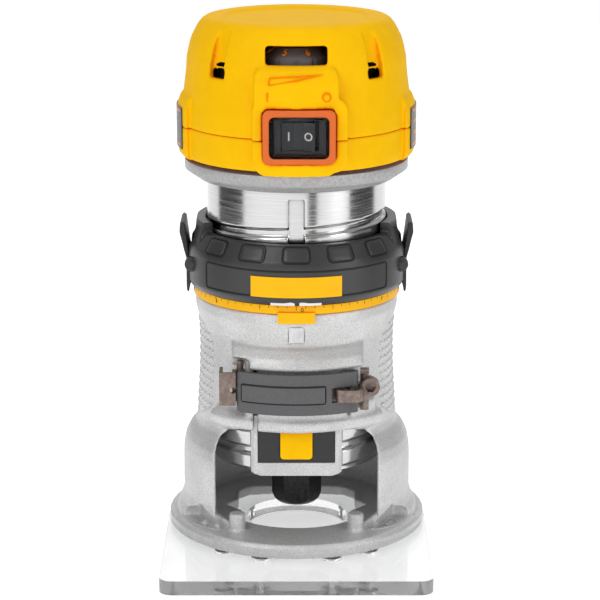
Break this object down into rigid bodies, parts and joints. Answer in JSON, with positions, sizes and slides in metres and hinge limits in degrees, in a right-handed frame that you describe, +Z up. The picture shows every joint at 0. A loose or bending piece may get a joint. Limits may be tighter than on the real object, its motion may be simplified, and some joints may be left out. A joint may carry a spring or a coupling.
{
  "type": "trim router",
  "caption": "Compact trim router: a ribbed yellow cap on a machined motor can, a depth ring with pinch tabs, and a cast base on a clear plate.",
  "frame": {"origin": "on the spindle axis at the bottom face of the clear sub-base, in its centre opening", "axes": "+Z up along the spindle axis, +X to the operator's right, -Y to the front, where the switch, lever and lock button are"},
  "size_m": [0.102, 0.1238, 0.2056],
  "materials": {
    "cast_alloy": "sand-cast, blasted",
    "clear_plastic": "clear polycarbonate",
    "machined_alloy": "turned, fine lines",
    "steel": "bright",
    "bronzed_steel": "brown oxide",
    "black_steel": "black oxide",
    "lever_black": "satin grey-black",
    "black_plastic": "moulded, fine texture",
    "ring_plastic": "moulded, satin",
    "yellow_plastic": "moulded",
    "scale_plastic": "moulded",
    "orange_plastic": "moulded",
    "clear_rubber": "clear flexible",
    "label_film": "printed film",
    "rubber": "matt",
    "copper": "bare copper",
    "brass": "bare",
    "carbon": "graphite",
    "board": "circuit board"
  },
  "bodies": {
    "base": {"base_casting": "cast_alloy", "sub_base": "clear_plastic", "sub_base_screws": "steel", "guide_pin": "steel", "toggle_link": "bronzed_steel", "clamp_strap": "bronzed_steel", "clamp_bar": "bronzed_steel", "clamp_screw": "bronzed_steel", "lever_pin": "steel", "link_pin": "bronzed_steel"},
    "depth_scale": {"scale_ring": "scale_plastic"},
    "lever": {"clamp_lever": "lever_black"},
    "ring": {"adjusting_ring": "ring_plastic", "thread_teeth": "steel", "ring_plate": "scale_plastic", "tab_pins": "steel", "tab_springs": "steel"},
    "tab_left": {"release_tab_left": "black_plastic"},
    "tab_right": {"release_tab_right": "black_plastic"},
    "motor": {"motor_can": "machined_alloy", "motor_nose": "cast_alloy", "bearing_seal": "black_plastic", "lock_panel": "black_plastic", "lock_spring": "steel", "stator": "steel", "lower_bearing": "steel", "upper_bearing": "steel", "brush_bridge": "black_plastic", "brush_tubes": "brass", "brushes": "carbon", "brush_springs": "steel", "lower_housing": "yellow_plastic", "upper_cap": "yellow_plastic", "cap_screws": "steel", "switch_bezel": "orange_plastic", "switch_boot": "clear_rubber", "switch_body": "black_plastic", "speed_module": "board", "air_baffle": "black_plastic", "label_left": "label_film", "label_right": "label_film", "cord_grommet": "rubber"},
    "lock": {"lock_button": "yellow_plastic"},
    "rocker": {"switch_rocker": "black_plastic"},
    "dial": {"speed_dial": "black_plastic"},
    "rotor": {"spindle": "steel", "armature": "steel", "commutator": "copper", "cooling_fan": "black_plastic", "collet": "steel", "collet_nut": "black_steel"}
  },
  "joints": [
    {"name": "ring_turn", "type": "hinge", "parent": "base", "child": "ring", "pos_m": [0, 0, 0.115], "axis": [0, 0, 1], "range_deg": [-830, 415]},
    {"name": "motor_slide", "type": "slide", "parent": "base", "child": "motor", "axis": [0, 0, 1], "range_m": [-0.0109, 0.0219]},
    {"name": "depth_scale_turn", "type": "hinge", "parent": "base", "child": "depth_scale", "pos_m": [0, 0, 0.1], "axis": [0, 0, 1], "continuous": true},
    {"name": "lever_swing", "type": "hinge", "parent": "base", "child": "lever", "pos_m": [0.021, -0.0392, 0.06875], "axis": [0, 0, 1], "range_deg": [0, 100]},
    {"name": "tab_left_pinch", "type": "hinge", "parent": "ring", "child": "tab_left", "pos_m": [-0.0399, 0, 0.1119], "axis": [0, 1, 0], "range_deg": [0, 9], "stiffness_Nm_per_rad": 0.3, "springref_deg": -2.86},
    {"name": "tab_right_pinch", "type": "hinge", "parent": "ring", "child": "tab_right", "pos_m": [0.0399, 0, 0.1119], "axis": [0, 1, 0], "range_deg": [-9, 0], "stiffness_Nm_per_rad": 0.3, "springref_deg": 2.86},
    {"name": "spindle_spin", "type": "hinge", "parent": "motor", "child": "rotor", "pos_m": [0, 0, 0.1], "axis": [0, 0, 1], "continuous": true},
    {"name": "lock_press", "type": "slide", "parent": "motor", "child": "lock", "axis": [0, 1, 0], "range_m": [0, 0.0028], "stiffness_N_per_m": 500, "springref_m": -0.002, "deforming": ["lock_spring"]},
    {"name": "switch_rock", "type": "hinge", "parent": "motor", "child": "rocker", "pos_m": [0.00135, -0.0405, 0.1667], "axis": [0, 0, 1], "range_deg": [0, 14]},
    {"name": "dial_turn", "type": "hinge", "parent": "motor", "child": "dial", "pos_m": [0, -0.0226, 0.19], "axis": [0, 0, 1], "range_deg": [-150, 120]}
  ],
  "couplings": [
    {"joint": "ring_turn", "follows": "motor_slide", "rad_per_m": -661.39}
  ]
}
